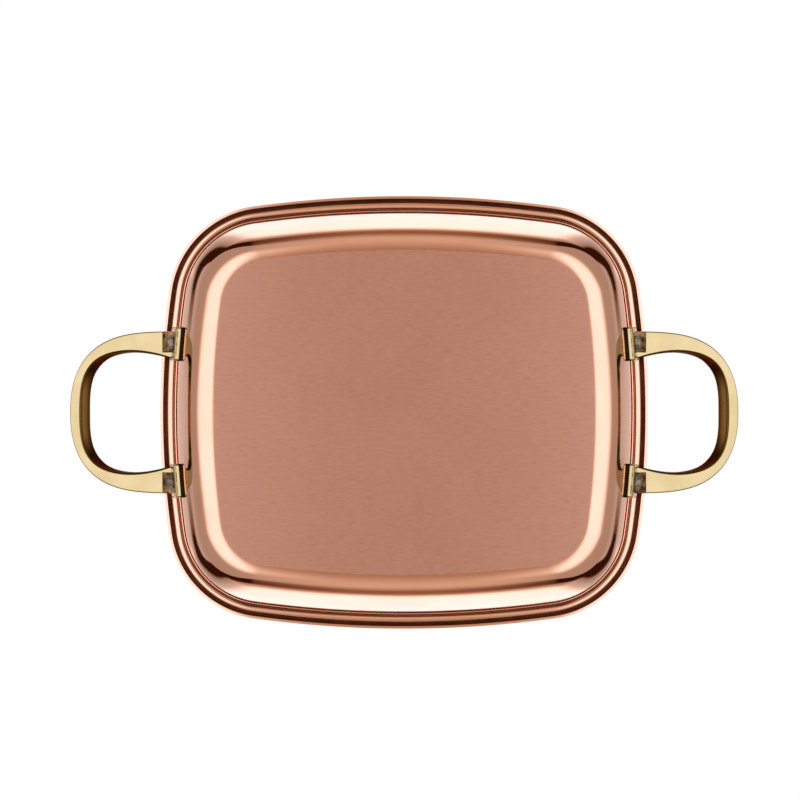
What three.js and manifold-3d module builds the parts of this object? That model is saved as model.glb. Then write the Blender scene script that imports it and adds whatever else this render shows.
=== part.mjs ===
// Square copper pan with a curled rim, a tin lining and two riveted brass D handles.
// Millimetres. +Z is up, the base rests on z = 0 and the handles lie along X.
import * as THREE from "three";
import { mergeVertices } from "three/addons/utils/BufferGeometryUtils.js";
import Module from "manifold-3d";

const wasm = await Module();
wasm.setup();

// Pan: the rim's length and width are over the full round of its curl, which ends in a raw edge
const rimLength = 200.6;
const rimWidth = 178.2;
const panHeight = 40;
const endBowRadius = 353;
const sideBowRadius = 455;
const cornerRadius = 41;
const sheet = 1;
const flatInset = 24.95;
const bottomRadius = 11;
const bottomTurn = THREE.MathUtils.degToRad(62);
const curlRadius = 3.7;
const rawEdgeDrop = 1.95;
const rawEdgeLean = 0.16;
const tinThickness = 0.25;
const tinGap = 0.05;
const tinCurlFacets = 2;

// Handles: sizes along a handle are measured in its tilted plane, outward from handleInset inside the rim
const handleTilt = THREE.MathUtils.degToRad(20);
const handleInset = 7.4;
const handleReach = 47.3;
const legOutside = 5.3;
const legInside = 2.6;
const outerBend = [3.3, 2.3];
const fingerBend = [5, 3];
const gripWidth = 5.2;
const gripDepth = 8.2;
const legThickness = 5;
const legStart = -8;
const legRootFlare = 4;
const flareLength = 24;
const curlClearance = 0.5;
const edgeBevel = 0.5;
const scoopRoom = 2.7;
const scoopDrop = 0.6;
const scoopRibGap = 0.35;

// Feet and rivets
const footSpacing = 55.2;
const footWidth = 13.7;
const footHeight = 13.5;
const footThickness = 2.4;
const footCorner = 1.2;
const footBelowCurl = 1;
const seatGap = 0.25;
const shankRadius = 2.2;
const shankGap = 0.2;
const headRadius = 4;
const headHeight = 2;
const headEdge = 0.3;
const tailRadius = 3;
const tailHeight = 2.2;
const tailFlat = 1.5;
const headGap = 0.3;
const tailGap = 0.15;

// Mesh fineness
const cornerSteps = 8;
const sideSteps = 8;
const bottomSteps = 5;
const wallSteps = 4;
const curlStep = THREE.MathUtils.degToRad(24);
const handleSteps = 22;
const rivetSteps = 16;

const copper = { color: 0xb87358, metalness: 1, roughness: 0.25 };
const tin = { color: 0xc9c7c2, metalness: 1, roughness: 0.4 };
const brass = { color: 0xd8bd7c, metalness: 1, roughness: 0.22 };
const rivetMetal = { color: 0x8f8a84, metalness: 1, roughness: 0.5 };

// Plan of the rim: four bowed sides and four corner arcs, all tangent, as stations on their arcs.
// An outline further in keeps the same arc centres with smaller radii.
function planStations() {
  const endX = rimLength / 2 - endBowRadius;
  const sideY = rimWidth / 2 - sideBowRadius;
  const toEnd = endBowRadius - cornerRadius;
  const toSide = sideBowRadius - cornerRadius;
  const apart = Math.hypot(endX, sideY);
  const along = (toEnd ** 2 - toSide ** 2 + apart ** 2) / (2 * apart);
  const across = Math.sqrt(toEnd ** 2 - along ** 2);
  const towardX = -endX / apart;
  const towardY = sideY / apart;
  const cornerX = endX + along * towardX - across * towardY;
  const cornerY = along * towardY + across * towardX;
  const endAngle = Math.atan2(cornerY, cornerX - endX);
  const sideAngle = Math.atan2(cornerY - sideY, cornerX);
  const stations = [];
  const arc = (x, y, radius, from, to, steps) => {
    for (let i = 0; i < steps; i++) {
      stations.push({ x, y, radius, angle: from + (to - from) * i / steps });
    }
  };
  arc(endX, 0, endBowRadius, -endAngle, endAngle, sideSteps);
  arc(cornerX, cornerY, cornerRadius, endAngle, sideAngle, cornerSteps);
  arc(0, sideY, sideBowRadius, sideAngle, Math.PI - sideAngle, sideSteps);
  arc(-cornerX, cornerY, cornerRadius, Math.PI - sideAngle, Math.PI - endAngle, cornerSteps);
  const half = stations.map((s) => ({ x: -s.x, y: -s.y, radius: s.radius, angle: s.angle + Math.PI }));
  return stations.concat(half);
}

// Sheet section, on the sheet's mid-line, as distance out from the flat base, height and direction:
// the bottom arc, the gently curved wall, which is tangent to the bottom arc and the curl, and the curl.
const bottomMid = bottomRadius - sheet / 2;
const curlMid = curlRadius - sheet / 2;
const curlOut = flatInset - curlRadius;
const curlUp = panHeight - curlRadius;
const bottomEndOut = bottomMid * Math.sin(bottomTurn);
const bottomEndUp = bottomRadius - bottomMid * Math.cos(bottomTurn);
const wallSpanOut = curlOut - bottomEndOut;
const wallSpanUp = curlUp - bottomEndUp;
const wallMid = (wallSpanOut ** 2 + wallSpanUp ** 2 - curlMid ** 2)
  / (2 * (curlMid - wallSpanOut * Math.sin(bottomTurn) + wallSpanUp * Math.cos(bottomTurn)));
const wallOut = bottomEndOut - wallMid * Math.sin(bottomTurn);
const wallUp = bottomEndUp + wallMid * Math.cos(bottomTurn);
const wallEndTurn = Math.atan2(curlOut - wallOut, wallUp - curlUp);

// Turns of the curl where its two skins meet the raw edge, which faces down and leans a little outward
const curlOutsideEnd = -Math.acos((curlRadius - rawEdgeDrop) / (curlRadius - sheet));
const curlInsideEnd = -Math.acos((curlRadius - rawEdgeDrop + rawEdgeLean) / curlRadius);

function sheetStations(endTurn) {
  const stations = [];
  const arc = (out, up, radius, from, to, steps) => {
    for (let i = 0; i < steps; i++) {
      const turn = from + (to - from) * i / steps;
      stations.push({ out: out + radius * Math.sin(turn), up: up - radius * Math.cos(turn), turn });
    }
  };
  arc(0, bottomRadius, bottomMid, 0, bottomTurn, bottomSteps);
  arc(wallOut, wallUp, wallMid, bottomTurn, wallEndTurn, wallSteps);
  const curlSteps = Math.ceil((wallEndTurn - endTurn) / curlStep);
  arc(curlOut, curlUp, -curlMid, wallEndTurn, endTurn, curlSteps);
  arc(curlOut, curlUp, -curlMid, endTurn, endTurn, 1);
  return stations;
}

// A point beside a station: positive to the pan's outside, negative to its inside
function beside(station, distance) {
  const out = station.out + distance * Math.sin(station.turn);
  return { inset: flatInset - out, up: station.up - distance * Math.cos(station.turn) };
}

// Sweeps a section round the plan and closes it with a flat fan at each end
function sweep(section) {
  const plan = planStations();
  const positions = [];
  const index = [];
  for (const point of section) {
    for (const s of plan) {
      const r = s.radius - point.inset;
      positions.push(s.x + r * Math.cos(s.angle), s.y + r * Math.sin(s.angle), point.up);
    }
  }
  const count = plan.length;
  const lastRing = (section.length - 1) * count;
  const bottom = section.length * count;
  positions.push(0, 0, section[0].up, 0, 0, section.at(-1).up);
  for (let i = 0; i < count; i++) {
    const next = (i + 1) % count;
    for (let ring = 0; ring < lastRing; ring += count) {
      index.push(ring + i, ring + next, ring + count + next);
      index.push(ring + i, ring + count + next, ring + count + i);
    }
    index.push(bottom, next, i);
    index.push(bottom + 1, lastRing + i, lastRing + next);
  }
  const geometry = new THREE.BufferGeometry();
  geometry.setAttribute("position", new THREE.Float32BufferAttribute(positions, 3));
  geometry.setIndex(index);
  return geometry;
}

function solidOf(geometry) {
  const bare = geometry.clone();
  bare.deleteAttribute("normal");
  bare.deleteAttribute("uv");
  const merged = mergeVertices(bare, 1e-4);
  return new wasm.Manifold(new wasm.Mesh({
    numProp: 3,
    vertProperties: new Float32Array(merged.attributes.position.array),
    triVerts: new Uint32Array(merged.index.array),
  }));
}

function geometryOf(solid) {
  const mesh = solid.getMesh();
  const geometry = new THREE.BufferGeometry();
  geometry.setAttribute("position", new THREE.Float32BufferAttribute(mesh.vertProperties, 3));
  geometry.setIndex(Array.from(mesh.triVerts));
  geometry.computeVertexNormals();
  return geometry;
}

// Where a foot sits: on the wall's outside, with local z out of the wall and local y up the wall
const footY = footSpacing / 2;
const handleHalfSpan = footY + legOutside;
const fingerHalfSpan = footY - legInside;
const wallOutside = wallMid + sheet / 2;
const footUp = panHeight - 2 * curlRadius - footBelowCurl - footHeight / 2;

function wallFrame(up, side, offWall) {
  const turn = Math.acos((wallUp - up) / wallOutside);
  const radius = endBowRadius - flatInset + wallOut + wallOutside * Math.sin(turn);
  const bow = Math.asin(side * footY / radius);
  const level = new THREE.Vector3(Math.cos(bow), Math.sin(bow), 0);
  const normal = level.multiplyScalar(Math.sin(turn)).setZ(-Math.cos(turn));
  const along = new THREE.Vector3(-Math.sin(bow), Math.cos(bow), 0);
  const upWall = new THREE.Vector3().crossVectors(normal, along);
  const place = new THREE.Vector3(rimLength / 2 - endBowRadius + radius * Math.cos(bow), side * footY, up);
  place.addScaledVector(normal, offWall);
  return new THREE.Matrix4().makeBasis(along, upWall, normal).setPosition(place);
}

// The handle's plane: its legs pass under the curl with the named clearance
const curlX = rimLength / 2 - endBowRadius
  + Math.sqrt((endBowRadius - curlRadius) ** 2 - (footY - footWidth / 2) ** 2);
const curlAbove = curlUp * Math.cos(handleTilt) - curlX * Math.sin(handleTilt);
const undersideAbove = curlAbove - curlRadius - curlClearance - legThickness;
const handleX = rimLength / 2 - handleInset;
const handleZ = (undersideAbove + handleX * Math.sin(handleTilt)) / Math.cos(handleTilt);
const handlePlane = new THREE.Matrix4().makeRotationY(-handleTilt).setPosition(handleX, 0, handleZ);

// Half width, at a distance out, of a D with the given reach, half span and bend
function halfWidth(out, reach, halfSpan, [bend, shoulder]) {
  return halfSpan * (1 - Math.max(0, out / reach) ** bend) ** (1 / shoulder);
}

function outerHalf(out) {
  return halfWidth(out, handleReach, handleHalfSpan, outerBend);
}

// The finger opening narrows toward the feet, where the legs flare
function fingerHalf(out) {
  const flare = legRootFlare * Math.max(0, 1 - out / flareLength) ** 2;
  return halfWidth(out, handleReach - gripWidth, fingerHalfSpan, fingerBend) - flare;
}

// One edge of the D from its leg at -y round to its leg at +y, with points closest where it bends most
function edgePoints(half, reach) {
  const points = [new THREE.Vector2(legStart, -half(0))];
  for (let i = -handleSteps; i <= handleSteps; i++) {
    const out = reach * Math.cos(i / handleSteps * Math.PI / 2) ** 0.7;
    points.push(new THREE.Vector2(out, Math.sign(i) * half(out)));
  }
  points.push(new THREE.Vector2(legStart, half(0)));
  return points;
}

function handleOutline() {
  const outer = edgePoints(outerHalf, handleReach);
  const inner = edgePoints(fingerHalf, handleReach - gripWidth);
  return new THREE.Shape(outer.concat(inner.reverse()));
}

function roundedRectangle(width, height, radius) {
  const shape = new THREE.Shape();
  const x = width / 2 - radius;
  const y = height / 2 - radius;
  shape.absarc(x, y, radius, 0, Math.PI / 2);
  shape.absarc(-x, y, radius, Math.PI / 2, Math.PI);
  shape.absarc(-x, -y, radius, Math.PI, Math.PI * 1.5);
  shape.absarc(x, -y, radius, Math.PI * 1.5, Math.PI * 2);
  return shape;
}

function bevelled(shape, depth, curveSegments) {
  const geometry = new THREE.ExtrudeGeometry(shape, {
    depth: depth - 2 * edgeBevel,
    bevelSize: edgeBevel,
    bevelThickness: edgeBevel,
    bevelOffset: -edgeBevel,
    bevelSegments: 2,
    curveSegments,
  });
  return geometry.translate(0, 0, edgeBevel);
}

// The pan's outside grown by the seat gap and filled, which shapes the back of the feet
function wallPlug() {
  const section = sheetStations(curlOutsideEnd).slice(0, bottomSteps + wallSteps + 1);
  const skin = section.map((station) => beside(station, sheet / 2 + seatGap));
  skin.push({ inset: skin.at(-1).inset, up: panHeight });
  return solidOf(sweep(skin));
}

function rivetBore(side) {
  const long = 6 * (sheet + footThickness);
  const bore = new THREE.CylinderGeometry(shankRadius + shankGap, shankRadius + shankGap, long, rivetSteps);
  bore.rotateX(Math.PI / 2);
  return solidOf(bore.applyMatrix4(wallFrame(footUp, side, 0)));
}

// Space over the legs: level over the rim, then rising to the full depth of the grip
function spaceAboveLegs() {
  const overRim = handleInset + curlRadius;
  const shape = new THREE.Shape();
  shape.moveTo(2 * legStart, legThickness);
  shape.lineTo(overRim, legThickness);
  shape.quadraticCurveTo(handleReach / 2, legThickness, handleReach - 2 * gripWidth, gripDepth);
  shape.lineTo(handleReach, 2 * gripDepth);
  shape.lineTo(2 * legStart, 2 * gripDepth);
  const options = { depth: 3 * handleHalfSpan, bevelEnabled: false, curveSegments: 8 };
  const prism = new THREE.ExtrudeGeometry(shape, options).rotateX(Math.PI / 2);
  return solidOf(prism.translate(0, 1.5 * handleHalfSpan, 0));
}

// Scoop under a leg round the rivet's tail, with room to peen it; a rib is left along the finger side
function scoop(side) {
  const from = footY - tailRadius - scoopRibGap;
  const width = handleHalfSpan * 1.5 - from;
  const radius = tailRadius + scoopRoom;
  const tail = new THREE.Vector3().setFromMatrixPosition(wallFrame(footUp, side, seatGap + footThickness));
  const cutter = new THREE.CylinderGeometry(radius, radius, width, 2 * rivetSteps);
  return solidOf(cutter.translate(tail.x, side * (from + width / 2), tail.z - scoopDrop));
}

function makeHandle() {
  let ring = solidOf(bevelled(handleOutline(), gripDepth, 1));
  ring = ring.subtract(spaceAboveLegs());
  let handle = solidOf(geometryOf(ring).applyMatrix4(handlePlane));
  handle = handle.subtract(scoop(1)).subtract(scoop(-1));
  for (const side of [1, -1]) {
    const foot = bevelled(roundedRectangle(footWidth, footHeight, footCorner), 2 * footThickness, 3);
    handle = handle.add(solidOf(foot.applyMatrix4(wallFrame(footUp, side, seatGap - footThickness))));
  }
  handle = handle.subtract(wallPlug());
  for (const side of [1, -1]) {
    handle = handle.subtract(rivetBore(side));
  }
  return geometryOf(handle);
}

// One sheet: the outer skin up to the curl's raw edge, then back down the inner skin
function drilled(section) {
  let solid = solidOf(sweep(section));
  for (const side of [1, -1]) {
    const bore = rivetBore(side);
    solid = solid.subtract(bore).subtract(bore.rotate([0, 0, 180]));
  }
  return geometryOf(solid);
}

function makePan() {
  const outer = sheetStations(curlOutsideEnd).map((station) => beside(station, sheet / 2));
  const inner = sheetStations(curlInsideEnd).map((station) => beside(station, -sheet / 2));
  return drilled(outer.concat(inner.reverse()));
}

function makeLining() {
  const stations = sheetStations(curlInsideEnd).slice(0, bottomSteps + wallSteps + 1 + tinCurlFacets);
  const outer = stations.map((station) => beside(station, -sheet / 2 - tinGap));
  const inner = stations.map((station) => beside(station, -sheet / 2 - tinGap - tinThickness));
  return drilled(outer.concat(inner.reverse()));
}

// Rivet about its own axis, z out of the pan: domed head inside, shank through wall and foot, peened tail
function makeRivet() {
  const headFace = -sheet - tinGap - tinThickness - headGap;
  const tailFace = seatGap + footThickness + tailGap;
  const half = new THREE.Path();
  half.moveTo(0, headFace - headHeight);
  half.quadraticCurveTo(headRadius, headFace - headHeight, headRadius, headFace - headEdge);
  half.lineTo(headRadius, headFace);
  half.lineTo(shankRadius, headFace);
  half.lineTo(shankRadius, tailFace);
  half.lineTo(tailRadius, tailFace);
  half.quadraticCurveTo(tailRadius, tailFace + tailHeight, tailFlat, tailFace + tailHeight);
  half.lineTo(0, tailFace + tailHeight);
  const lathe = new THREE.LatheGeometry(half.getPoints(4), rivetSteps);
  lathe.rotateX(Math.PI / 2);
  return geometryOf(solidOf(lathe));
}

const pan = new THREE.Group();
pan.name = "square_pan";

function addPiece(name, geometry, look, place) {
  const mesh = new THREE.Mesh(geometry, new THREE.MeshStandardMaterial(look));
  mesh.name = name;
  if (place) {
    mesh.applyMatrix4(place);
  }
  pan.add(mesh);
}

addPiece("pan_body", makePan(), copper);
addPiece("tin_lining", makeLining(), tin);
const handle = makeHandle();
const rivet = makeRivet();
for (const [end, turn] of [["right", 0], ["left", Math.PI]]) {
  const place = new THREE.Matrix4().makeRotationZ(turn);
  addPiece("handle_" + end, handle, brass, place);
  for (const [row, side] of [["back", 1], ["front", -1]]) {
    const facing = turn === 0 ? side : -side;
    addPiece(`rivet_${end}_${row}`, rivet, rivetMetal, place.clone().multiply(wallFrame(footUp, facing, 0)));
  }
}

export default pan;
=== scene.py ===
"""Square copper pan with a curled rim, a tin lining and two riveted brass D handles, seen from below."""
import math

import bpy
import numpy as np
from mathutils import Matrix, Vector


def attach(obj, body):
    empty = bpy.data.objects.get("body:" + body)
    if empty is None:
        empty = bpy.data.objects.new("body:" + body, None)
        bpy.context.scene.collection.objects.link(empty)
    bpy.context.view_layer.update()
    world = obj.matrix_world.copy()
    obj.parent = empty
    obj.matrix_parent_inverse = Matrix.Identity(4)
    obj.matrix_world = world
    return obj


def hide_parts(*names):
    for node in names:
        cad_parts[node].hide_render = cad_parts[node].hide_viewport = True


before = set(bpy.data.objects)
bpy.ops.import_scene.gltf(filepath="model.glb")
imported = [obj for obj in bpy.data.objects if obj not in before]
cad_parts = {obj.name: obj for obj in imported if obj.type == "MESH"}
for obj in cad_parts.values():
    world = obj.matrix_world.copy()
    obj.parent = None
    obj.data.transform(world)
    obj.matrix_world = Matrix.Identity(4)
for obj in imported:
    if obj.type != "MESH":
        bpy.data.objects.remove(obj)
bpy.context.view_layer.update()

# Sizes of the pan, in millimetres
MM = 0.001
RIM_LENGTH = 200.6
RIM_WIDTH = 178.2
PAN_HEIGHT = 40.0
END_BOW_RADIUS = 353.0
SIDE_BOW_RADIUS = 455.0
CORNER_RADIUS = 41.0
BASE_CORNER_RADIUS = 44.0
BASE_BLEND = 6.0
SHEET = 1.0
FLAT_INSET = 24.95
BOTTOM_RADIUS = 11.0
BOTTOM_TURN = math.radians(62)
CURL_RADIUS = 3.7
RAW_EDGE_DROP = 1.95
RAW_EDGE_LEAN = 0.16
RAW_EDGE_SOFT = 0.16
UNPOLISHED_SHADE_TURN = math.radians(-2.5)
TIN_THICKNESS = 0.25
TIN_GAP = 0.05
TIN_END_TURN = math.radians(46)

# Sizes of the handles, in millimetres
HANDLE_TILT = math.radians(20)
HANDLE_INSET = 7.4
HANDLE_REACH = 47.3
LEG_OUTSIDE = 5.3
LEG_INSIDE = 2.6
OUTER_BEND = (3.3, 2.3)
FINGER_BEND = (5.0, 3.0)
GRIP_WIDTH = 5.2
GRIP_DEPTH = 8.2
LEG_THICKNESS = 5.0
LEG_START = -8.0
LEG_ROOT_FLARE = 4.0
FLARE_LENGTH = 24.0
CURL_CLEARANCE = 0.5
OUTER_ROUND = 0.7
INNER_ROUND = 1.1
FINGER_DRAFT = 0.08
# Painted shade on the handle's finger side: depths over which it darkens, its unevenness, and where the
# legs' colour takes over
SHADE_DEPTH = (2.5, 7.0)
SHADE_UNEVEN = 1.5
SHADE_ASIDE = (8.0, 18.0)
SCOOP_ROOM = 2.7
SCOOP_DROP = 0.6
SCOOP_RIB_GAP = 0.35

# Sizes of the feet and rivets, in millimetres
FOOT_SPACING = 55.2
FOOT_WIDTH = 13.7
FOOT_HEIGHT = 13.5
FOOT_THICKNESS = 2.4
FOOT_CORNER = 1.2
FOOT_BELOW_CURL = 1.0
# Band of the feet next to the wall: straight-sided, and painted near black as shade
FOOT_ROOT = 0.45
FOOT_ROUND = 1.0
FOOT_END_SLOPE = 0.3
FOOT_CORNER_LOSS = 0.5
SEAT_GAP = 0.25
VISIBLE_SEAT = 0.06
SHANK_RADIUS = 2.2
SHANK_GAP = 0.1
HEAD_RADIUS = 4.0
HEAD_HEIGHT = 2.0
HEAD_EDGE = 0.3
TAIL_RADIUS = 3.0
TAIL_HEIGHT = 2.2
TAIL_FLAT = 1.5
TAIL_BEATEN = 0.05
HEAD_GAP = 0.15
TAIL_GAP = 0.05

# Mesh fineness
SIDE_STEPS = 40
CORNER_STEPS = 30
BOTTOM_STEPS = 32
WALL_STEPS = 24
CURL_STEPS = 48
EDGE_STEPS = 8
HANDLE_STEPS = 84
RIVET_STEPS = 48
DOME_STEPS = 12
DOME_START = 0.04  # first ring of a rivet's head, as a part of the dome
TAIL_RINGS = (0.66, 0.33, 0.05)  # rings on the tail's flat, as parts of its radius
STATION_POWER = 0.7  # crowds the handle's stations toward its tip

# Angles above which an edge is shaded sharp
PAN_SHARP = math.radians(40)
HANDLE_SHARP = math.radians(32)
RIVET_SHARP = math.radians(50)


# Plan and section of the sheet
def plan_stations(corner_radius):
    """Arc centres, radii and angles round the plan: four bowed sides and four corner arcs, all tangent."""
    end_x = RIM_LENGTH / 2 - END_BOW_RADIUS
    side_y = RIM_WIDTH / 2 - SIDE_BOW_RADIUS
    to_end = END_BOW_RADIUS - corner_radius
    to_side = SIDE_BOW_RADIUS - corner_radius
    apart = math.hypot(end_x, side_y)
    along = (to_end ** 2 - to_side ** 2 + apart ** 2) / (2 * apart)
    across = math.sqrt(to_end ** 2 - along ** 2)
    toward_x = -end_x / apart
    toward_y = side_y / apart
    corner_x = end_x + along * toward_x - across * toward_y
    corner_y = along * toward_y + across * toward_x
    end_angle = math.atan2(corner_y, corner_x - end_x)
    side_angle = math.atan2(corner_y - side_y, corner_x)
    arcs = [
        (end_x, 0, END_BOW_RADIUS, -end_angle, end_angle, SIDE_STEPS),
        (corner_x, corner_y, corner_radius, end_angle, side_angle, CORNER_STEPS),
        (0, side_y, SIDE_BOW_RADIUS, side_angle, math.pi - side_angle, SIDE_STEPS),
        (-corner_x, corner_y, corner_radius, math.pi - side_angle, math.pi - end_angle, CORNER_STEPS),
    ]
    stations = []
    for x, y, radius, start, stop, steps in arcs:
        for angle in np.linspace(start, stop, steps, endpoint=False):
            stations.append((x, y, radius, angle))
    half = np.array(stations)
    return np.concatenate([half, half * [-1, -1, 1, 1] + [0, 0, 0, math.pi]])


def outline(plan, inset, up):
    """The points of the plan moved inward by inset, at height up."""
    reach = plan[:, 2] - inset
    x = plan[:, 0] + reach * np.cos(plan[:, 3])
    y = plan[:, 1] + reach * np.sin(plan[:, 3])
    return np.stack([x, y, np.full(len(plan), up)], axis=1)


BOTTOM_MID = BOTTOM_RADIUS - SHEET / 2
CURL_MID = CURL_RADIUS - SHEET / 2
CURL_OUT = FLAT_INSET - CURL_RADIUS
CURL_UP = PAN_HEIGHT - CURL_RADIUS
BOTTOM_END_OUT = BOTTOM_MID * math.sin(BOTTOM_TURN)
BOTTOM_END_UP = BOTTOM_RADIUS - BOTTOM_MID * math.cos(BOTTOM_TURN)
WALL_SPAN_OUT = CURL_OUT - BOTTOM_END_OUT
WALL_SPAN_UP = CURL_UP - BOTTOM_END_UP
WALL_ACROSS = WALL_SPAN_UP * math.cos(BOTTOM_TURN) - WALL_SPAN_OUT * math.sin(BOTTOM_TURN)
WALL_MID = (WALL_SPAN_OUT ** 2 + WALL_SPAN_UP ** 2 - CURL_MID ** 2) / (2 * (CURL_MID + WALL_ACROSS))
WALL_OUT = BOTTOM_END_OUT - WALL_MID * math.sin(BOTTOM_TURN)
WALL_UP = BOTTOM_END_UP + WALL_MID * math.cos(BOTTOM_TURN)
WALL_END_TURN = math.atan2(CURL_OUT - WALL_OUT, WALL_UP - CURL_UP)
WALL_OUTSIDE = WALL_MID + SHEET / 2


def sheet_stations(end_turn):
    """Distance out from the flat base, height and turn along the sheet's mid-line, to the curl's end."""
    curl_steps = round(CURL_STEPS * (WALL_END_TURN - end_turn) / math.pi)
    arcs = [
        (0, BOTTOM_RADIUS, BOTTOM_MID, 0, BOTTOM_TURN, BOTTOM_STEPS),
        (WALL_OUT, WALL_UP, WALL_MID, BOTTOM_TURN, WALL_END_TURN, WALL_STEPS),
        (CURL_OUT, CURL_UP, -CURL_MID, WALL_END_TURN, end_turn, curl_steps),
        (CURL_OUT, CURL_UP, -CURL_MID, end_turn, end_turn, 1),
    ]
    stations = []
    for out, up, radius, start, stop, steps in arcs:
        for turn in np.linspace(start, stop, steps, endpoint=False):
            stations.append((out + radius * math.sin(turn), up - radius * math.cos(turn), turn))
    return stations


def beside(station, distance):
    """Inset and height of a point beside a station, positive toward the pan's outside."""
    out, up, turn = station
    return FLAT_INSET - out - distance * math.sin(turn), up - distance * math.cos(turn)


def sheet_section(end_turn, outside, inside):
    """Closed section of a sheet between two distances from the mid-line, with a rounded end."""
    stations = sheet_stations(end_turn)
    skin = [beside(station, outside) for station in stations]
    out, up, turn = stations[-1]
    middle = (outside + inside) / 2
    half = (outside - inside) / 2
    for swing in np.linspace(math.pi / 2, -math.pi / 2, EDGE_STEPS + 1)[1:-1]:
        on = half * math.cos(swing)
        place = (out + on * math.cos(turn), up + on * math.sin(turn), turn)
        skin.append(beside(place, middle + half * math.sin(swing)))
    return skin + [beside(station, inside) for station in reversed(stations)]


# Turns of the curl where its two skins meet the raw edge, which faces down and leans a little outward
CURL_OUTSIDE_END = -math.acos((CURL_RADIUS - RAW_EDGE_DROP) / (CURL_RADIUS - SHEET))
CURL_INSIDE_END = -math.acos((CURL_RADIUS - RAW_EDGE_DROP + RAW_EDGE_LEAN) / CURL_RADIUS)


def soft_corner(before, corner, after):
    """Points of a small round in place of a corner."""
    corner = np.array(corner)
    begin = corner + RAW_EDGE_SOFT * (before - corner) / np.linalg.norm(before - corner)
    end = corner + RAW_EDGE_SOFT * (after - corner) / np.linalg.norm(after - corner)
    round_points = []
    for part in np.linspace(0, 1, EDGE_STEPS):
        round_points.append((1 - part) ** 2 * begin + 2 * part * (1 - part) * corner + part ** 2 * end)
    return round_points


def pan_section():
    """Closed section of the copper sheet, which ends in the raw edge."""
    outside = [beside(station, SHEET / 2) for station in sheet_stations(CURL_OUTSIDE_END)]
    inside = [beside(station, -SHEET / 2) for station in sheet_stations(CURL_INSIDE_END)]
    low_corner = soft_corner(outside[-2], outside[-1], inside[-1])
    high_corner = soft_corner(outside[-1], inside[-1], inside[-2])
    return outside[:-1] + low_corner + high_corner + inside[-2::-1]


# Mesh helpers
def add_object(name, points, faces, materials):
    """A mesh object from points in millimetres."""
    mesh = bpy.data.meshes.new(name)
    mesh.from_pydata((np.asarray(points) * MM).tolist(), [], faces)
    for material in materials:
        mesh.materials.append(material)
    mesh.validate()
    made = bpy.data.objects.new(name, mesh)
    bpy.context.scene.collection.objects.link(made)
    return made


def grid_faces(rows, columns):
    """Faces between neighbouring rows of a grid whose columns close on themselves."""
    faces = []
    for row in range(rows - 1):
        for column in range(columns):
            after = (column + 1) % columns
            low = row * columns
            high = low + columns
            faces.append((low + column, low + after, high + after, high + column))
    return faces


def capped_rings(name, rings, materials):
    """A closed solid from rings of points, with a flat cap on the first and last ring."""
    rows = len(rings)
    columns = len(rings[0])
    faces = grid_faces(rows, columns)
    faces.append(tuple(reversed(range(columns))))
    faces.append(tuple((rows - 1) * columns + i for i in range(columns)))
    return add_object(name, np.concatenate(rings), faces, materials)


def swept_sheet(name, section, materials):
    """A section swept round the plan, with rounder corners near the base and its floors filled by fans."""
    rim_plan = plan_stations(CORNER_RADIUS)
    base_plan = plan_stations(BASE_CORNER_RADIUS)
    rings = []
    for inset, up in section:
        part = min(1.0, max(0.0, 1 + (inset - FLAT_INSET) / BASE_BLEND))
        part = part * part * (3 - 2 * part)
        rings.append((1 - part) * outline(rim_plan, inset, up) + part * outline(base_plan, inset, up))
    columns = len(rim_plan)
    points = np.concatenate(rings + [[[0, 0, section[0][1]], [0, 0, section[-1][1]]]])
    faces = grid_faces(len(section), columns)
    bottom = len(section) * columns
    last = bottom - columns
    for i in range(columns):
        after = (i + 1) % columns
        faces.append((bottom, after, i))
        faces.append((bottom + 1, last + i, last + after))
    return add_object(name, points, faces, materials)


def cut(target, tool, operation):
    """Joins, or takes away, a tool object, which is then removed."""
    change = target.modifiers.new(operation, "BOOLEAN")
    change.operation = operation
    change.solver = "MANIFOLD"
    change.object = tool
    bpy.context.view_layer.objects.active = target
    bpy.ops.object.modifier_apply(modifier=change.name)
    bpy.data.objects.remove(tool)


def shade(made, sharp_angle):
    """Smooth shading that keeps edges sharper than an angle."""
    made.data.shade_smooth()
    made.data.set_sharp_from_angle(angle=sharp_angle)


def place(made, matrix):
    """Moves a mesh by a matrix given in millimetres."""
    scaled = matrix.copy()
    scaled.translation = matrix.translation * MM
    made.data.transform(scaled)


# Where feet and rivets sit on the wall
FOOT_Y = FOOT_SPACING / 2
HANDLE_HALF_SPAN = FOOT_Y + LEG_OUTSIDE
FINGER_HALF_SPAN = FOOT_Y - LEG_INSIDE
FOOT_UP = PAN_HEIGHT - 2 * CURL_RADIUS - FOOT_BELOW_CURL - FOOT_HEIGHT / 2
END_CENTRE_X = RIM_LENGTH / 2 - END_BOW_RADIUS
BORE_LENGTH = 6 * (SHEET + FOOT_THICKNESS)
SCOOP_RADIUS = TAIL_RADIUS + SCOOP_ROOM
SCOOP_BEGIN = FOOT_Y - TAIL_RADIUS - SCOOP_RIB_GAP


def wall_frame(up, side, off_wall):
    """Frame on the right end's wall: z out of the wall, y up the wall."""
    turn = math.acos((WALL_UP - up) / WALL_OUTSIDE)
    radius = END_BOW_RADIUS - FLAT_INSET + WALL_OUT + WALL_OUTSIDE * math.sin(turn)
    bow = math.asin(side * FOOT_Y / radius)
    normal = Vector((math.cos(bow) * math.sin(turn), math.sin(bow) * math.sin(turn), -math.cos(turn)))
    along = Vector((-math.sin(bow), math.cos(bow), 0))
    up_wall = normal.cross(along)
    on_wall = Vector((END_CENTRE_X + radius * math.cos(bow), side * FOOT_Y, up))
    at = on_wall + normal * off_wall
    rows = [[along[i], up_wall[i], normal[i], at[i]] for i in range(3)]
    return Matrix(rows + [[0, 0, 0, 1]])


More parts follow.
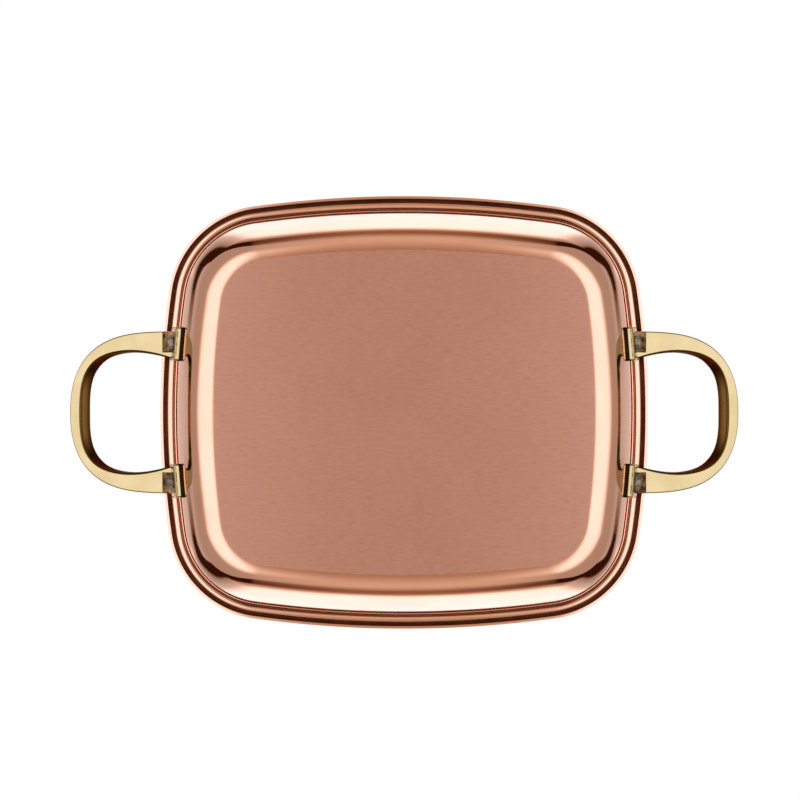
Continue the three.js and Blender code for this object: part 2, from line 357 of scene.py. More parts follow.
# The handle's plane, with the legs just under the curl
CURL_BOW = math.sqrt((END_BOW_RADIUS - CURL_RADIUS) ** 2 - (FOOT_Y - FOOT_WIDTH / 2) ** 2)
CURL_X = END_CENTRE_X + CURL_BOW
CURL_ABOVE = CURL_UP * math.cos(HANDLE_TILT) - CURL_X * math.sin(HANDLE_TILT)
UNDERSIDE_ABOVE = CURL_ABOVE - CURL_RADIUS - CURL_CLEARANCE - LEG_THICKNESS
HANDLE_X = RIM_LENGTH / 2 - HANDLE_INSET
HANDLE_Z = (UNDERSIDE_ABOVE + HANDLE_X * math.sin(HANDLE_TILT)) / math.cos(HANDLE_TILT)
HANDLE_PLANE = Matrix.Translation((HANDLE_X, 0, HANDLE_Z)) @ Matrix.Rotation(-HANDLE_TILT, 4, "Y")


def half_width(out, reach, half_span, bend):
    """Half width, at a distance out from the feet, of a D with the given reach, half span and bend."""
    return half_span * (1 - max(0.0, out / reach) ** bend[0]) ** (1 / bend[1])


def outer_half(out):
    """Half width of the handle's outer edge."""
    return half_width(out, HANDLE_REACH, HANDLE_HALF_SPAN, OUTER_BEND)


def finger_half(out):
    """Half width of the finger opening, whose legs flare toward the feet."""
    flare = LEG_ROOT_FLARE * max(0.0, 1 - out / FLARE_LENGTH) ** 2
    return half_width(out, HANDLE_REACH - GRIP_WIDTH, FINGER_HALF_SPAN, FINGER_BEND) - flare


def top_height(out):
    """Thickness of the handle: level legs that deepen into the grip."""
    over_rim = HANDLE_INSET + CURL_RADIUS
    rise = HANDLE_REACH - 2 * GRIP_WIDTH - over_rim
    part = min(1.0, max(0.0, (out - over_rim) / rise))
    return LEG_THICKNESS + (GRIP_DEPTH - LEG_THICKNESS) * part ** 2


def d_edge(half, reach):
    """One edge of the D from its leg at -y round to its leg at +y."""
    points = [(LEG_START, -half(0.0))]
    for i in range(-HANDLE_STEPS, HANDLE_STEPS + 1):
        out = reach * max(0.0, math.cos(i / HANDLE_STEPS * math.pi / 2)) ** STATION_POWER
        points.append((out, math.copysign(half(out), i)))
    points.append((LEG_START, half(0.0)))
    return np.array(points)


def rounded_section(inner, outer):
    """Ring of points round the handle's section, a rounded rectangle with a drafted finger side."""
    across = outer - inner
    width = np.linalg.norm(across)
    across = across / width
    ring = []
    corners = [(INNER_ROUND, 0), (width - OUTER_ROUND, 0), (width - OUTER_ROUND, 1), (INNER_ROUND, 1)]
    for number, (middle, top) in enumerate(corners):
        radius = INNER_ROUND if number in (0, 3) else OUTER_ROUND
        begin = math.pi + number * math.pi / 2
        for swing in np.linspace(begin, begin + math.pi / 2, EDGE_STEPS):
            spot = inner + across * (middle + radius * math.cos(swing))
            height = top_height(spot[0]) - radius if top else radius
            if number == 3:
                spot = spot - across * FINGER_DRAFT * height
            ring.append((spot[0], spot[1], height + radius * math.sin(swing)))
    return np.array(ring)


def foot_rings():
    """Rings of a foot from z = 0 up: a block with its far rim rounded and its lower end cut level."""
    rings = []
    depth = 2 * FOOT_THICKNESS
    levels = [(0.0, 0.0), (0.0, FOOT_THICKNESS + FOOT_ROOT)]
    for swing in np.linspace(0, math.pi / 2, EDGE_STEPS):
        levels.append((FOOT_ROUND * (1 - math.cos(swing)), depth - FOOT_ROUND * (1 - math.sin(swing))))
    for inset, level in levels:
        ring = []
        for quarter in range(4):
            sign_x = 1 if quarter in (0, 3) else -1
            sign_y = 1 if quarter in (0, 1) else -1
            for swing in np.linspace(quarter * math.pi / 2, (quarter + 1) * math.pi / 2, EDGE_STEPS):
                radius = FOOT_CORNER - inset * FOOT_CORNER_LOSS
                x = sign_x * (FOOT_WIDTH / 2 - inset - radius) + radius * math.cos(swing)
                y = sign_y * (FOOT_HEIGHT / 2 - inset - radius) + radius * math.sin(swing)
                if sign_y < 0:
                    y += (level - FOOT_THICKNESS) * FOOT_END_SLOPE
                ring.append((x, y, level))
        rings.append(np.array(ring))
    return rings


def full_turn(steps):
    """Equally spaced angles round a circle."""
    return np.linspace(0, 2 * math.pi, steps, endpoint=False)


def circle_ring(radius, level, steps):
    """Points round z at a height; the radius may differ from point to point."""
    turn = full_turn(steps)
    return np.column_stack([radius * np.cos(turn), radius * np.sin(turn), np.full(steps, level)])


# Shader helpers
NOISE_RANGE = (0.3, 0.7)  # most of a noise lies between these
MIX_COLOURS = (6, 7)  # colour sockets of a mix node
MIX_RESULT = 2  # colour output of a mix node


def node(tree, kind, inputs=None, **settings):
    """Adds a node, sets its properties, and links or sets its inputs."""
    made = tree.nodes.new(kind)
    for key, value in settings.items():
        setattr(made, key, value)
    for key, value in (inputs or {}).items():
        socket = made.inputs[key]
        if isinstance(value, bpy.types.NodeSocket):
            tree.links.new(value, socket)
        else:
            socket.default_value = value
    return made


def math_node(tree, operation, first, second=0.0):
    """The result of one sum or comparison."""
    return node(tree, "ShaderNodeMath", {0: first, 1: second}, operation=operation).outputs[0]


def spread(tree, value, low, high, to_low=0.0, to_high=1.0):
    """Smooth step of a value between two limits."""
    inputs = {"Value": value, "From Min": low, "From Max": high, "To Min": to_low, "To Max": to_high}
    return node(tree, "ShaderNodeMapRange", inputs, interpolation_type="SMOOTHSTEP").outputs["Result"]


def grade(tree, noise, low, high):
    """A noise spread over two limits."""
    return spread(tree, noise, *NOISE_RANGE, low, high)


def object_noise(tree, scale, detail, roughness=0.5, stretch=(1, 1, 1)):
    """Noise in the object's own coordinates, with features of about 1 / scale metres."""
    where = node(tree, "ShaderNodeTexCoord").outputs["Object"]
    mapped = node(tree, "ShaderNodeMapping", {"Vector": where, "Scale": stretch}).outputs["Vector"]
    inputs = {"Vector": mapped, "Scale": scale, "Detail": detail, "Roughness": roughness}
    return node(tree, "ShaderNodeTexNoise", inputs).outputs["Fac"]


def two_colours(tree, factor, first, second):
    """Mix of two colours, the first of which may come from another node."""
    if not isinstance(first, bpy.types.NodeSocket):
        first = (*first, 1)
    inputs = {"Factor": factor, MIX_COLOURS[0]: first, MIX_COLOURS[1]: (*second, 1)}
    return node(tree, "ShaderNodeMix", inputs, data_type="RGBA").outputs[MIX_RESULT]


def bump(tree, height, distance, strength=1.0):
    """Relief of a distance in metres."""
    inputs = {"Height": height, "Distance": distance, "Strength": strength}
    return node(tree, "ShaderNodeBump", inputs).outputs["Normal"]


def empty_material(name):
    """A new material and its empty tree."""
    material = bpy.data.materials.new(name)
    material.use_nodes = True
    tree = material.node_tree
    tree.nodes.clear()
    return material, tree


def show(tree, surface):
    """Makes a shader the material's surface."""
    node(tree, "ShaderNodeOutputMaterial", {"Surface": surface})


def metal(name):
    """A metal material, its tree and its shader."""
    material, tree = empty_material(name)
    shader = node(tree, "ShaderNodeBsdfPrincipled", {"Metallic": 1.0})
    show(tree, shader.outputs[0])
    return material, tree, shader


def connect(tree, shader, **links):
    """Links values to the shader's sockets, named with _ for a space."""
    for key, value in links.items():
        tree.links.new(value, shader.inputs[key.replace("_", " ")])


# Materials
def polished_copper():
    """Copper with a mirror polish, faintly clouded and wavy."""
    material, tree, shader = metal("polished_copper")
    cloud = object_noise(tree, scale=45, detail=4)
    grain = object_noise(tree, scale=900, detail=3)
    wave = object_noise(tree, scale=70, detail=2)
    colour = two_colours(tree, spread(tree, cloud, 0.35, 0.7), (0.95, 0.53, 0.37), (0.92, 0.50, 0.34))
    dull = spread(tree, cloud, 0.4, 0.7, 0, 0.03)
    rough = math_node(tree, "ADD", grade(tree, grain, 0.04, 0.07), dull)
    relief = bump(tree, wave, distance=0.00003)
    connect(tree, shader, Base_Color=colour, Roughness=rough, Normal=relief)
    return material


def brushed_copper():
    """Copper brushed along x."""
    material, tree, shader = metal("brushed_copper")
    lines = object_noise(tree, scale=1, detail=3, roughness=0.6, stretch=(260, 2700, 260))
    streaks = object_noise(tree, scale=1, detail=2, stretch=(70, 900, 70))
    cloud = object_noise(tree, scale=30, detail=3)
    part_lines = math_node(tree, "MULTIPLY", lines, 0.8)
    part_streaks = math_node(tree, "MULTIPLY", streaks, 0.2)
    tone = spread(tree, math_node(tree, "ADD", part_lines, part_streaks), 0.35, 0.65)
    colour = two_colours(tree, tone, (0.715, 0.386, 0.290), (0.808, 0.442, 0.338))
    rough = math_node(tree, "ADD", grade(tree, lines, 0.29, 0.35), grade(tree, cloud, 0, 0.04))
    across = node(tree, "ShaderNodeCombineXYZ", {"X": 0.0, "Y": 1.0, "Z": 0.0}).outputs[0]
    shader.inputs["Anisotropic"].default_value = 0.9
    connect(tree, shader, Base_Color=colour, Roughness=rough, Tangent=across)
    return material


def unpolished_copper_painted_shade():
    """Unpolished copper, painted near black as the shade in the curl's hollow."""
    material, tree, shader = metal("unpolished_copper_painted_shade")
    cloud = object_noise(tree, scale=120, detail=4)
    grain = object_noise(tree, scale=1200, detail=3)
    colour = two_colours(tree, grade(tree, cloud, 0, 1), (0.055, 0.022, 0.012), (0.085, 0.035, 0.02))
    rough = grade(tree, grain, 0.35, 0.5)
    relief = bump(tree, grain, distance=0.00005, strength=0.5)
    connect(tree, shader, Base_Color=colour, Roughness=rough, Normal=relief)
    return material


def wiped_tin():
    """Satin tin with the broad strokes of the wiping."""
    material, tree, shader = metal("wiped_tin")
    wipe = object_noise(tree, scale=1, detail=2, roughness=0.45, stretch=(24, 110, 50))
    fine = object_noise(tree, scale=700, detail=3)
    swell = object_noise(tree, scale=1, detail=1, stretch=(22, 60, 40))
    colour = two_colours(tree, grade(tree, wipe, 0, 1), (0.70, 0.69, 0.66), (0.80, 0.79, 0.77))
    rough = math_node(tree, "ADD", grade(tree, wipe, 0.285, 0.36), grade(tree, fine, 0, 0.03))
    relief = bump(tree, swell, distance=0.0001, strength=0.6)
    connect(tree, shader, Base_Color=colour, Roughness=rough, Normal=relief)
    return material


def polished_brass():
    """Brass with a soft polish, as on the handles' faces."""
    material, tree, shader = metal("polished_brass")
    cloud = object_noise(tree, scale=90, detail=4)
    fine = object_noise(tree, scale=1500, detail=3)
    colour = two_colours(tree, grade(tree, cloud, 0, 1), (0.585, 0.465, 0.235), (0.53, 0.415, 0.20))
    rough = math_node(tree, "ADD", grade(tree, fine, 0.1, 0.15), grade(tree, cloud, 0, 0.04))
    relief = bump(tree, cloud, distance=0.00006, strength=0.5)
    connect(tree, shader, Base_Color=colour, Roughness=rough, Normal=relief)
    return material


def foot_painted_shade():
    """Near-black painted shade on the feet's edges next to the wall."""
    material, tree, shader = metal("foot_painted_shade")
    grain = object_noise(tree, scale=1100, detail=4, roughness=0.6)
    colour = two_colours(tree, grade(tree, grain, 0, 1), (0.016, 0.006, 0.003), (0.034, 0.014, 0.007))
    rough = grade(tree, grain, 0.35, 0.55)
    relief = bump(tree, grain, distance=0.0001, strength=0.6)
    connect(tree, shader, Base_Color=colour, Roughness=rough, Normal=relief)
    return material


def dull_brass_painted_shade(name, near, far, bend, tint):
    """Satin brass with painted shade: darker away from the underside, darkest in the bends and along the
    legs.
    """
    material, tree, shader = metal(name)
    where = node(tree, "ShaderNodeTexCoord").outputs["Object"]
    parts = node(tree, "ShaderNodeSeparateXYZ", {0: where}).outputs
    level = math_node(tree, "MULTIPLY", parts["Z"], math.cos(HANDLE_TILT))
    slope = math_node(tree, "MULTIPLY", math_node(tree, "ABSOLUTE", parts["X"]), math.sin(HANDLE_TILT))
    cloud = object_noise(tree, scale=140, detail=4)
    uneven = math_node(tree, "MULTIPLY", cloud, SHADE_UNEVEN * MM)
    depth = math_node(tree, "ADD", math_node(tree, "SUBTRACT", level, slope), uneven)
    begin, end = [(UNDERSIDE_ABOVE + SHADE_UNEVEN / 2 + reach) * MM for reach in SHADE_DEPTH]
    fine = object_noise(tree, scale=1400, detail=3)
    # painted shade: darker with depth from the underside, and the bend colour along the legs
    graded = two_colours(tree, spread(tree, depth, begin, end), near, far)
    aside = spread(tree, math_node(tree, "ABSOLUTE", parts["Y"]), *[y * MM for y in SHADE_ASIDE])
    colour = two_colours(tree, aside, graded, bend)
    rough = grade(tree, fine, 0.29, 0.4)
    relief = bump(tree, fine, distance=0.00006, strength=0.5)
    shader.inputs["Specular Tint"].default_value = (*tint, 1)
    connect(tree, shader, Base_Color=colour, Roughness=rough, Normal=relief)
    return material


def patchy_metal(name, patch_scale, dark, pale, grain_noise, rough_limits, relief_settings):
    """Rough metal in dark and pale patches."""
    material, tree, shader = metal(name)
    grain = object_noise(tree, **grain_noise)
    patch = object_noise(tree, scale=patch_scale, detail=2)
    colour = two_colours(tree, spread(tree, patch, 0.35, 0.65), dark, pale)
    rough = grade(tree, grain, *rough_limits)
    relief = bump(tree, grain, **relief_settings)
    connect(tree, shader, Base_Color=colour, Roughness=rough, Normal=relief)
    return material


COPPER = polished_copper()
BASE = brushed_copper()
UNPOLISHED_SHADE = unpolished_copper_painted_shade()
TIN = wiped_tin()
BRASS = polished_brass()
FOOT_PAINTED_SHADE = foot_painted_shade()
# Painted shade on the finger side: golden near the underside, dark brown deeper in
DULL_PAINTED_SHADE = dull_brass_painted_shade(
    "dull_brass_painted_shade",
    near=(0.46, 0.26, 0.10),
    far=(0.17, 0.085, 0.035),
    bend=(0.105, 0.06, 0.022),
    tint=(0.30, 0.19, 0.08),
)
# Painted dark reflection on the rounding between the finger side and the underside: near-black brown brass
EDGE_PAINTED_REFLECTION = dull_brass_painted_shade(
    "edge_painted_reflection_brass",
    near=(0.12, 0.07, 0.015),
    far=(0.12, 0.065, 0.014),
    bend=(0.10, 0.055, 0.013),
    tint=(0.4, 0.25, 0.07),
)
CAST = patchy_metal(
    "cast_brass_skin",
    patch_scale=500,
    dark=(0.17, 0.105, 0.055),
    pale=(0.70, 0.49, 0.29),
    grain_noise={"scale": 1600, "detail": 5, "roughness": 0.65},
    rough_limits=(0.45, 0.7),
    relief_settings={"distance": 0.0004, "strength": 0.9},
)
RIVET = patchy_metal(
    "hammered_rivet",
    patch_scale=400,
    dark=(0.20, 0.16, 0.12),
    pale=(0.52, 0.43, 0.34),
    grain_noise={"scale": 1300, "detail": 4, "roughness": 0.6},
    rough_limits=(0.42, 0.6),
    relief_settings={"distance": 0.0006, "strength": 1.0},
)


# Pieces, with tolerances in millimetres for finding the faces of a material
PAN_MATERIALS = [COPPER, BASE, UNPOLISHED_SHADE]
HANDLE_MATERIALS = [BRASS, CAST, DULL_PAINTED_SHADE, FOOT_PAINTED_SHADE, EDGE_PAINTED_REFLECTION]
FLAT_TOLERANCE = 0.001
ROUND_TOLERANCE = 0.1
END_TOLERANCE = 0.01
SCOOP_MARK_BEYOND = 1.0
PAINTED_REFLECTION_COLUMNS = EDGE_STEPS - 2


def rivet_bore(side, turn):
    """Cylinder along a rivet's axis, for its holes."""
    levels = (-BORE_LENGTH / 2, BORE_LENGTH / 2)
    rings = [circle_ring(SHANK_RADIUS + SHANK_GAP, level, RIVET_STEPS) for level in levels]
    bore = capped_rings("bore", rings, [])
    place(bore, Matrix.Rotation(turn, 4, "Z") @ wall_frame(FOOT_UP, side, 0))
    return bore


def drill(made):
    """Cuts the holes of all four rivets."""
    for turn in (0, math.pi):
        for side in (1, -1):
            cut(made, rivet_bore(side, turn), "DIFFERENCE")


def make_pan():
    """The copper sheet: brushed base, painted shade in the unpolished hollow of the curl, polished
    elsewhere.
    """
    made = swept_sheet("pan_copper", [(FLAT_INSET + SHEET, 0.0)] + pan_section(), PAN_MATERIALS)
    stations = sheet_stations(CURL_OUTSIDE_END)
    shade_end = len(stations) + EDGE_STEPS // 2
    columns = len(plan_stations(CORNER_RADIUS))
    for face in made.data.polygons:
        row = face.index // columns
        turn = stations[min(row, len(stations)) - 1][2]
        if max(abs(made.data.vertices[v].co.z) for v in face.vertices) < FLAT_TOLERANCE * MM:
            face.material_index = PAN_MATERIALS.index(BASE)
        # painted shade: the curl's hollow gets near-black unpolished copper
        elif row < shade_end and turn < UNPOLISHED_SHADE_TURN:
            face.material_index = PAN_MATERIALS.index(UNPOLISHED_SHADE)
    drill(made)
    shade(made, PAN_SHARP)
    return made


def make_lining():
    """The tin on the inside, up to the top of the curl."""
    outside = -SHEET / 2 - TIN_GAP
    section = sheet_section(TIN_END_TURN, outside, outside - TIN_THICKNESS)
    made = swept_sheet("pan_tin", section, [TIN])
    drill(made)
    shade(made, PAN_SHARP)
    return made


def wall_plug():
    """The pan's outside grown by the visible seat and filled, which shapes the back of the feet."""
    stations = sheet_stations(0.0)[:BOTTOM_STEPS + WALL_STEPS + 1]
    skin = [beside(station, SHEET / 2 + VISIBLE_SEAT) for station in stations]
    skin.append((skin[-1][0], PAN_HEIGHT))
    return swept_sheet("plug", skin, [])


def scoop_axis():
    """Where the scoop's axis, which lies along y, is in x and z."""
    tail = wall_frame(FOOT_UP, 1, SEAT_GAP + FOOT_THICKNESS).translation
    return tail.x, tail.z - SCOOP_DROP


def scoop_cutter(side):
    """Cylinder along y round a rivet's tail; a rib of the leg is left along its finger side."""
    levels = (SCOOP_BEGIN, SCOOP_BEGIN + HANDLE_HALF_SPAN)
    rings = [circle_ring(SCOOP_RADIUS, level, 2 * RIVET_STEPS) for level in levels]
    made = capped_rings("scoop", rings, [])
    axis_x, axis_z = scoop_axis()
    place(made, Matrix.Translation((axis_x, 0, axis_z)) @ Matrix.Rotation(-side * math.pi / 2, 4, "X"))
    return made


def mark_cast_faces(made):
    """Gives the scoops the as-cast material, and the feet's edges next to the wall the near-black painted
    shade.
    """
    axis_x, axis_z = scoop_axis()
    for face in made.data.polygons:
        centre = face.center / MM
        aside = abs(centre.y)
        away = math.hypot(centre.x - axis_x, centre.z - axis_z)
        on_round = abs(away - SCOOP_RADIUS) < ROUND_TOLERANCE and aside > SCOOP_BEGIN - END_TOLERANCE
        on_end = away < SCOOP_RADIUS and abs(aside - SCOOP_BEGIN) < END_TOLERANCE
        in_scoop = (on_round or on_end) and aside < HANDLE_HALF_SPAN + SCOOP_MARK_BEYOND
        from_wall = wall_frame(FOOT_UP, math.copysign(1, centre.y), 0).inverted() @ centre
        # painted shade: faces of a foot next to the wall get near-black brass
        if from_wall.z < FOOT_ROOT and abs(from_wall.y) < FOOT_HEIGHT:
            face.material_index = HANDLE_MATERIALS.index(FOOT_PAINTED_SHADE)
        elif in_scoop:
            face.material_index = HANDLE_MATERIALS.index(CAST)


def make_handle(name):
    """The right handle: a D with scoops under its legs, and two drilled feet shaped to the wall."""
    outer = d_edge(outer_half, HANDLE_REACH)
    inner = d_edge(finger_half, HANDLE_REACH - GRIP_WIDTH)
    rings = [rounded_section(a, b) for a, b in zip(inner, outer)]
    made = capped_rings(name, rings, HANDLE_MATERIALS)
    columns = len(rings[0])
    end_caps = (len(rings) - 1) * columns
    for face in made.data.polygons[:end_caps]:
        column = face.index % columns
        # the finger side: brass with painted shade
        if column == columns - 1:
            face.material_index = HANDLE_MATERIALS.index(DULL_PAINTED_SHADE)
        # most of the rounding between finger side and underside: a painted dark reflection
        elif column < PAINTED_REFLECTION_COLUMNS:
            face.material_index = HANDLE_MATERIALS.index(EDGE_PAINTED_REFLECTION)
    place(made, HANDLE_PLANE)
    for side in (1, -1):
        cut(made, scoop_cutter(side), "DIFFERENCE")
    for side in (1, -1):
        foot = capped_rings("foot", foot_rings(), [])
        place(foot, wall_frame(FOOT_UP, side, SEAT_GAP - FOOT_THICKNESS))
        cut(made, foot, "UNION")
    cut(made, wall_plug(), "DIFFERENCE")
    for side in (1, -1):
        cut(made, rivet_bore(side, 0), "DIFFERENCE")
    mark_cast_faces(made)
    shade(made, HANDLE_SHARP)
    return made


def rivet_profile():
    """Radius and height of a rivet about its own axis: domed head inside, shank, peened tail outside."""
    head_face = -SHEET - TIN_GAP - TIN_THICKNESS - HEAD_GAP
    tail_face = SEAT_GAP + FOOT_THICKNESS + TAIL_GAP
    profile = []
    for part in np.linspace(DOME_START, 1, DOME_STEPS):
        radius = part * (2 - part) * HEAD_RADIUS
        rise = part ** 2 * (HEAD_HEIGHT - HEAD_EDGE)
        profile.append((radius, head_face - HEAD_HEIGHT + rise))
    profile.append((HEAD_RADIUS - HEAD_EDGE / 2, head_face))
    profile.append((SHANK_RADIUS, head_face))
    profile.append((SHANK_RADIUS, tail_face))
    profile.append((TAIL_RADIUS - HEAD_EDGE, tail_face))
    for part in np.linspace(0, 1, DOME_STEPS):
        radius = (1 - part ** 2) * TAIL_RADIUS + part ** 2 * TAIL_FLAT
        rise = part * (2 - part) * (TAIL_HEIGHT - HEAD_EDGE / 2)
        profile.append((radius, tail_face + HEAD_EDGE / 2 + rise))
    for part in TAIL_RINGS:
        profile.append((TAIL_FLAT * part, tail_face + TAIL_HEIGHT))
    return profile, tail_face


def make_rivet(name, matrix, seed):
    """A turned rivet whose tail is beaten a little uneven."""
    profile, tail_face = rivet_profile()
    turn = full_turn(RIVET_STEPS)
    rings = []
    for radius, level in profile:
        beaten = 1.0
        if level > tail_face + HEAD_EDGE:
            dents = np.sin(3 * turn + seed) * np.cos(5 * turn - 2 * seed + 2 * level)
            beaten = 1 - TAIL_BEATEN * (1 + dents)
        rings.append(circle_ring(radius * beaten, level, RIVET_STEPS))
    made = capped_rings(name, rings, [RIVET])
    place(made, matrix)
    shade(made, RIVET_SHARP)
    return made


def settle(made, node_name):
    """Puts a finished piece on the frame in place of its CAD node."""
    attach(made, "root")
    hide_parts(node_name)


settle(make_pan(), "pan_body")
settle(make_lining(), "tin_lining")
right_handle = make_handle("handle_brass_right")
left_handle = bpy.data.objects.new("handle_brass_left", right_handle.data.copy())
bpy.context.scene.collection.objects.link(left_handle)
place(left_handle, Matrix.Rotation(math.pi, 4, "Z"))
settle(right_handle, "handle_right")
settle(left_handle, "handle_left")
for end, end_turn in (("right", 0.0), ("left", math.pi)):
    for row, row_side in (("back", 1), ("front", -1)):
        facing = row_side if end == "right" else -row_side
        spot = Matrix.Rotation(end_turn, 4, "Z") @ wall_frame(FOOT_UP, facing, 0)
        rivet = make_rivet(f"rivet_body_{end}_{row}", spot, end_turn + row_side)
        settle(rivet, f"rivet_{end}_{row}")


# Camera straight below the base, its distance in metres
PHOTO_SIDE = 800
CAMERA_DISTANCE = 1.1
PIXELS_PER_MM = 2.529
CENTRE_PIXEL = (404.25, 412.4)
SENSOR = 36.0

camera_data = bpy.data.cameras.new("camera")
camera_data.sensor_width = SENSOR
camera_data.lens = PIXELS_PER_MM * CAMERA_DISTANCE / MM / PHOTO_SIDE * SENSOR
camera_data.shift_x = (PHOTO_SIDE / 2 - CENTRE_PIXEL[0]) / PHOTO_SIDE
camera_data.shift_y = (CENTRE_PIXEL[1] - PHOTO_SIDE / 2) / PHOTO_SIDE
camera = bpy.data.objects.new("camera", camera_data)
camera.location = (0, 0, -CAMERA_DISTANCE)
camera.rotation_euler = (0, math.pi, 0)
bpy.context.scene.collection.objects.link(camera)
bpy.context.scene.camera = camera


# Floor, pale from above and clear from below
FLOOR_GAP = 0.2
FLOOR_HALF = 6000.0
FLOOR_FADE = (0.45, 1.6)
FLOOR_COLOUR = (0.86, 0.86, 0.86, 1)
WHITE = (1, 1, 1, 1)


def floor_material():
    """A pale floor that fades to white far out, and that a ray from below passes through."""
    material, tree = empty_material("pale_floor")
    geometry = node(tree, "ShaderNodeNewGeometry")
    light = node(tree, "ShaderNodeLightPath")
    pale = node(tree, "ShaderNodeBsdfDiffuse", {"Color": FLOOR_COLOUR}).outputs[0]
    white = node(tree, "ShaderNodeEmission", {"Color": WHITE, "Strength": 1.0}).outputs[0]
    clear = node(tree, "ShaderNodeBsdfTransparent").outputs[0]
    where = geometry.outputs["Position"]
    away = node(tree, "ShaderNodeVectorMath", {0: where}, operation="LENGTH").outputs["Value"]
    fade = math_node(tree, "MULTIPLY", spread(tree, away, *FLOOR_FADE), light.outputs["Is Camera Ray"])
    seen = node(tree, "ShaderNodeMixShader", {0: fade, 1: pale, 2: white}).outputs[0]
    passed = math_node(tree, "GREATER_THAN", light.outputs["Transparent Depth"], 0.5)
    through = math_node(tree, "MAXIMUM", geometry.outputs["Backfacing"], passed)
    show(tree, node(tree, "ShaderNodeMixShader", {0: through, 1: seen, 2: clear}).outputs[0])
    return material


corner_signs = ((-1, -1), (1, -1), (1, 1), (-1, 1))
floor_corners = [(x * FLOOR_HALF, y * FLOOR_HALF, -FLOOR_GAP) for x, y in corner_signs]
floor = add_object("floor", floor_corners, [(0, 1, 2, 3)], [floor_material()])


# Studio surround that only reflections see, with its angles in degrees
SURROUND_RADIUS = 3000.0
SURROUND_STEPS = 48
SURROUND_SPAN = (0.5, 165)
PEAK = 2.0
ROOM_LEVELS = ((0, 0.46), (85, 0.42), (125, 0.40), (136, 0.60), (180, 0.8))
FRONT_LEVELS = ((0, 0.48), (9, 0.30), (20, 0.38), (45, 0.60), (60, 0.61), (82, 0.17), (94, 0.19),
                (103, 0.45), (116, 1.36), (126, 1.68), (150, 1.45), (162, 1.0), (180, 0.8))
BOX_LEVELS = ((0, 0.008), (17, 0.008), (20, 0.3), (33, 0.7), (41, 1.5), (50, 1.6), (70, 0.9), (180, 0.8))
FRONT_EDGE = (0.04, 0.28)
PANEL_LEVEL = 1.1
PANEL_SLOPE = 0.83
PANEL_EDGE = (0.0, 0.46)
BORDER_TURN = (10, 62)
BORDER_FALL = (70, 133)
BORDER_SOFT = (-1.0, 1.0)
BOX_TURN = (39, 86)
BOX_PACE = (0.7, 3.2)
BOX_DIM_TURN = (50, 72)
BOX_DIM = (1.8, 0.62)
BORDER_END = (76, 88)
WARM_BRIGHT = (0.6, 1.0)
WARM_DIM = (0.05, 0.3)
WARM_LEAST = 0.4
RED_POWER = 0.7
BLUE_POWER = 1.25


def level_ramp(tree, angle, levels):
    """Brightness along an angle, from pairs of degrees and level."""
    ramp = node(tree, "ShaderNodeValToRGB", {"Fac": math_node(tree, "DIVIDE", angle, math.pi)})
    stops = ramp.color_ramp.elements
    while len(stops) < len(levels):
        stops.new(0.5)
    for stop, (degrees, level) in zip(stops, levels):
        stop.position = degrees / 180
        stop.color = (level / PEAK, level / PEAK, level / PEAK, 1)
    return math_node(tree, "MULTIPLY", ramp.outputs["Color"], PEAK)


def blend_levels(tree, factor, first, second):
    """Mix of two levels."""
    return node(tree, "ShaderNodeMix", {"Factor": factor, "A": first, "B": second}).outputs["Result"]


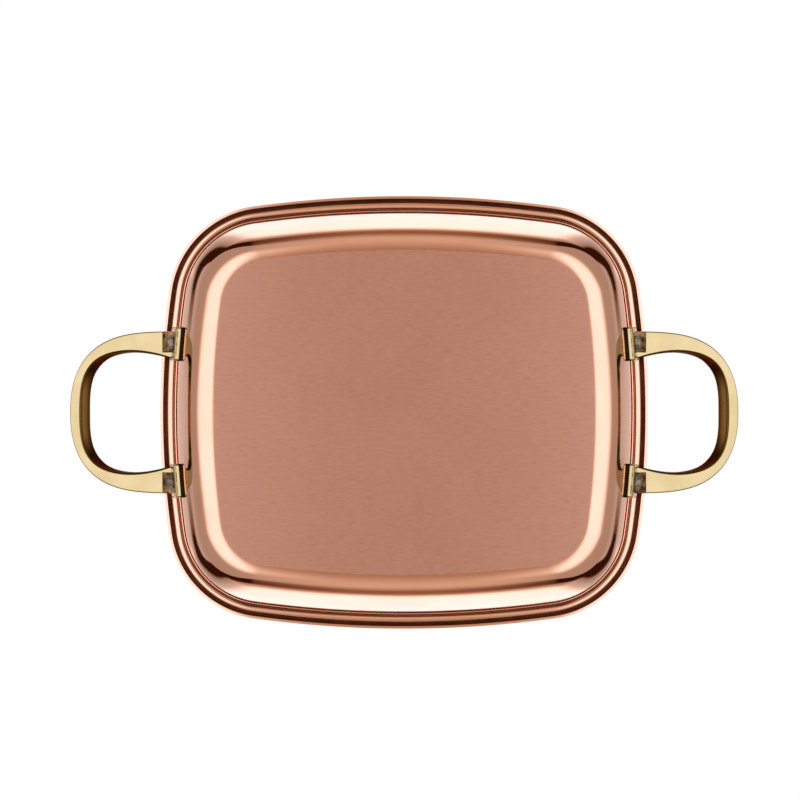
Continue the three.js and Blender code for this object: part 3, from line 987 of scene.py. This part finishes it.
def surround_material():
    """Glow by the fall angle from straight down and the turn angle from front or back to the ends."""
    material, tree = empty_material("studio_surround")
    material.cycles.emission_sampling = "NONE"
    where = node(tree, "ShaderNodeNewGeometry").outputs["Position"]
    ray = node(tree, "ShaderNodeVectorMath", {0: where}, operation="NORMALIZE").outputs["Vector"]
    parts = node(tree, "ShaderNodeSeparateXYZ", {0: ray}).outputs
    wide = math_node(tree, "ABSOLUTE", parts["X"])
    long = math_node(tree, "ABSOLUTE", parts["Y"])
    down = math_node(tree, "MULTIPLY", parts["Z"], -1.0)
    fall = math_node(tree, "ARCCOSINE", down)
    turn = math_node(tree, "ARCTAN2", wide, long)

    # At the ends: a dim room with a pale panel low down
    panel_height = math_node(tree, "SUBTRACT", down, math_node(tree, "MULTIPLY", long, PANEL_SLOPE))
    panel = spread(tree, panel_height, *PANEL_EDGE, 0.0, PANEL_LEVEL)
    room = math_node(tree, "ADD", level_ramp(tree, fall, ROOM_LEVELS), panel)

    # Over the corners: a box light with a narrow dark border that climbs toward the ends
    border = spread(tree, turn, *np.radians(BORDER_TURN), *np.radians(BORDER_FALL))
    over = math_node(tree, "SUBTRACT", fall, border)
    paced = math_node(tree, "MULTIPLY", over, spread(tree, turn, *np.radians(BOX_TURN), *BOX_PACE))
    most = spread(tree, turn, *np.radians(BOX_DIM_TURN), *BOX_DIM)
    box = math_node(tree, "MINIMUM", level_ramp(tree, paced, BOX_LEVELS), most)
    past_border = spread(tree, over, *np.radians(BORDER_SOFT))
    before_end = spread(tree, turn, *np.radians(BORDER_END), 1.0, 0.0)
    in_box = math_node(tree, "MULTIPLY", past_border, before_end)
    side = blend_levels(tree, in_box, room, box)

    # In front and behind: one column from the slot below to the box light above
    front = level_ramp(tree, fall, FRONT_LEVELS)
    beyond = spread(tree, wide, *FRONT_EDGE)
    level = blend_levels(tree, beyond, front, side)

    # Warm in front and behind, and elsewhere least warm at the middle levels
    bright = spread(tree, level, *WARM_BRIGHT, WARM_LEAST, 1.0)
    dim = spread(tree, level, *WARM_DIM, 1.0, WARM_LEAST)
    not_mid = math_node(tree, "MAXIMUM", bright, dim)
    warmth = math_node(tree, "MAXIMUM", math_node(tree, "SUBTRACT", 1.0, beyond), not_mid)
    red = math_node(tree, "POWER", level, spread(tree, warmth, 0.0, 1.0, 1.0, RED_POWER))
    red = math_node(tree, "MAXIMUM", red, level)
    blue = math_node(tree, "POWER", level, spread(tree, warmth, 0.0, 1.0, 1.0, BLUE_POWER))
    colour = node(tree, "ShaderNodeCombineColor", {"Red": red, "Green": level, "Blue": blue}).outputs[0]
    show(tree, node(tree, "ShaderNodeEmission", {"Color": colour, "Strength": 1.0}).outputs[0])
    return material


def reflection_only(made):
    """Hides an object from all rays but reflected ones."""
    made.visible_camera = False
    made.visible_diffuse = False
    made.visible_transmission = False
    made.visible_volume_scatter = False
    made.visible_shadow = False


surround_rings = []
for polar in np.radians(np.linspace(*SURROUND_SPAN, SURROUND_STEPS)):
    wide = SURROUND_RADIUS * math.sin(polar)
    level = -SURROUND_RADIUS * math.cos(polar)
    surround_rings.append(circle_ring(wide, level, 2 * SURROUND_STEPS))
surround_faces = grid_faces(SURROUND_STEPS, 2 * SURROUND_STEPS)
surround = add_object("surround", np.concatenate(surround_rings), surround_faces, [surround_material()])
reflection_only(surround)


# Lamps and world, in metres
LAMP_DISTANCE = 1.6
LAMP_RAISE = math.radians(48)
LAMP_SIZE = (1.1, 0.71)
LAMP_RADIANCE = 2.3
WORLD_FILL = 0.35


def softbox(name, location):
    """Area lamp that faces the object and that reflections don't see."""
    lamp = bpy.data.lights.new(name, "AREA")
    lamp.shape = "RECTANGLE"
    lamp.size, lamp.size_y = LAMP_SIZE
    lamp.energy = LAMP_RADIANCE * math.pi * lamp.size * lamp.size_y
    made = bpy.data.objects.new(name, lamp)
    made.location = location
    made.rotation_euler = (-Vector(location)).to_track_quat("-Z", "Y").to_euler()
    made.visible_camera = False
    made.visible_glossy = False
    bpy.context.scene.collection.objects.link(made)


for lamp_name, lamp_side in (("softbox_back", 1), ("softbox_front", -1)):
    lamp_y = lamp_side * LAMP_DISTANCE * math.cos(LAMP_RAISE)
    softbox(lamp_name, (0, lamp_y, LAMP_DISTANCE * math.sin(LAMP_RAISE)))

world = bpy.data.worlds.new("studio")
bpy.context.scene.world = world
world.use_nodes = True
world_tree = world.node_tree
world_tree.nodes.clear()
ray_kind = node(world_tree, "ShaderNodeLightPath").outputs
shown = math_node(world_tree, "MAXIMUM", ray_kind["Is Camera Ray"], ray_kind["Is Glossy Ray"])
shown = math_node(world_tree, "MAXIMUM", shown, ray_kind["Is Transmission Ray"])
world_level = spread(world_tree, shown, 0.0, 1.0, WORLD_FILL, 1.0)
backdrop = node(world_tree, "ShaderNodeBackground", {"Color": WHITE, "Strength": world_level}).outputs[0]
node(world_tree, "ShaderNodeOutputWorld", {"Surface": backdrop})

bpy.context.scene.view_settings.view_transform = "Standard"
